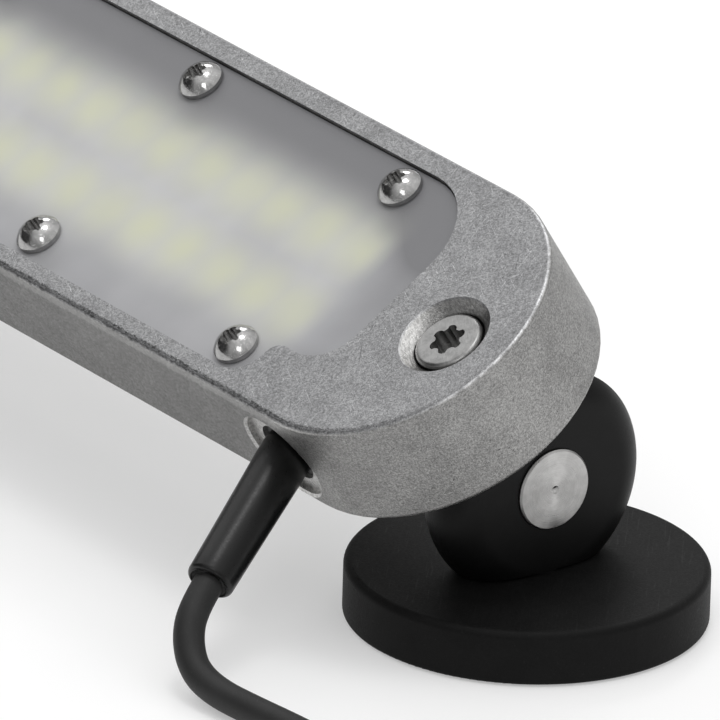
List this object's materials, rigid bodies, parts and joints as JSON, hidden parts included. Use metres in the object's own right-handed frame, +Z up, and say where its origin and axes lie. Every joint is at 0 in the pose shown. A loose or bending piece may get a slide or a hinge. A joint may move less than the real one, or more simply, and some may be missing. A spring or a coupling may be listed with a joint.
{
  "type": "work light",
  "caption": "Magnetic strip work light: aluminium bar with a frosted diffuser, tilting on two knuckle feet with round magnets, and a cord with a small round plug.",
  "frame": {"origin": "centre of foot A's magnet face, on the surface that it clings to", "axes": "+Z up, away from that surface; +X along the bar from foot B towards foot A's end; the lit face leans towards -Y"},
  "size_m": [0.3653, 0.1207, 0.0486],
  "materials": {
    "cast_aluminium": "raw tumbled",
    "frosted_acrylic": "frosted",
    "silicone": "matte",
    "stainless": "polished",
    "board_white": "solder mask",
    "led_phosphor": "satin",
    "board_green": "solder mask",
    "component_black": "moulded",
    "insulating_sheet": "film",
    "wire_insulation": "satin",
    "gland_nylon": "moulded",
    "cable_rubber": "satin",
    "tie_nylon": "satin",
    "nickel": "plated",
    "spring_steel": "satin",
    "zinc_steel": "zinc plated",
    "black_nylon": "satin moulded",
    "turned_aluminium": "turned",
    "ptfe": "waxy",
    "magnet_rubber": "matte",
    "brass": "machined"
  },
  "bodies": {
    "bar": {"housing": "cast_aluminium", "diffuser": "frosted_acrylic", "diffuser_gasket": "silicone", "diffuser_screws": "stainless", "thermal_pad": "silicone", "led_board": "board_white", "led_chips": "led_phosphor", "driver_sheet": "insulating_sheet", "driver_board": "board_green", "driver_components": "component_black", "supply_wires": "wire_insulation", "led_leads": "wire_insulation", "cable_gland": "gland_nylon", "gland_seal": "silicone", "cable_boot": "cable_rubber", "cable": "cable_rubber", "cable_tail": "cable_rubber", "cable_coil": "cable_rubber", "coil_tie": "tie_nylon", "plug_body": "cable_rubber", "plug_barrel": "nickel", "clamp_screw_a": "stainless", "lock_washer_a": "spring_steel", "tilt_tongue_a": "zinc_steel", "clamp_screw_b": "stainless", "lock_washer_b": "spring_steel", "tilt_tongue_b": "zinc_steel"},
    "knuckle_a": {"knuckle_shell_outer_a": "black_nylon", "knuckle_shell_inner_a": "black_nylon", "pivot_pin_a": "zinc_steel", "pivot_cap_outer_a": "turned_aluminium", "pivot_cap_inner_a": "turned_aluminium", "friction_washers_a": "spring_steel"},
    "magnet_a": {"magnet_rubber_a": "magnet_rubber", "magnet_plate_a": "zinc_steel", "magnet_discs_a": "nickel", "magnet_bush_a": "brass", "magnet_screw_a": "zinc_steel", "swivel_washer_a": "ptfe"},
    "knuckle_b": {"knuckle_shell_outer_b": "black_nylon", "knuckle_shell_inner_b": "black_nylon", "pivot_pin_b": "zinc_steel", "pivot_cap_outer_b": "turned_aluminium", "pivot_cap_inner_b": "turned_aluminium", "friction_washers_b": "spring_steel"},
    "magnet_b": {"magnet_rubber_b": "magnet_rubber", "magnet_plate_b": "zinc_steel", "magnet_discs_b": "nickel", "magnet_bush_b": "brass", "magnet_screw_b": "zinc_steel", "swivel_washer_b": "ptfe"}
  },
  "joints": [
    {"name": "tilt_a", "type": "hinge", "parent": "bar", "child": "knuckle_a", "pos_m": [0, 0, 0.01725], "axis": [1, 0, 0], "range_deg": [-17.6, 82.4]},
    {"name": "swivel_a", "type": "hinge", "parent": "knuckle_a", "child": "magnet_a", "pos_m": [0, 0, 0.0066], "axis": [0, 0, 1], "continuous": true},
    {"name": "tilt_b", "type": "hinge", "parent": "bar", "child": "knuckle_b", "pos_m": [-0.25, 0, 0.01725], "axis": [1, 0, 0], "range_deg": [-17.6, 82.4]},
    {"name": "swivel_b", "type": "hinge", "parent": "knuckle_b", "child": "magnet_b", "pos_m": [-0.25, 0, 0.0066], "axis": [0, 0, 1], "continuous": true}
  ]
}
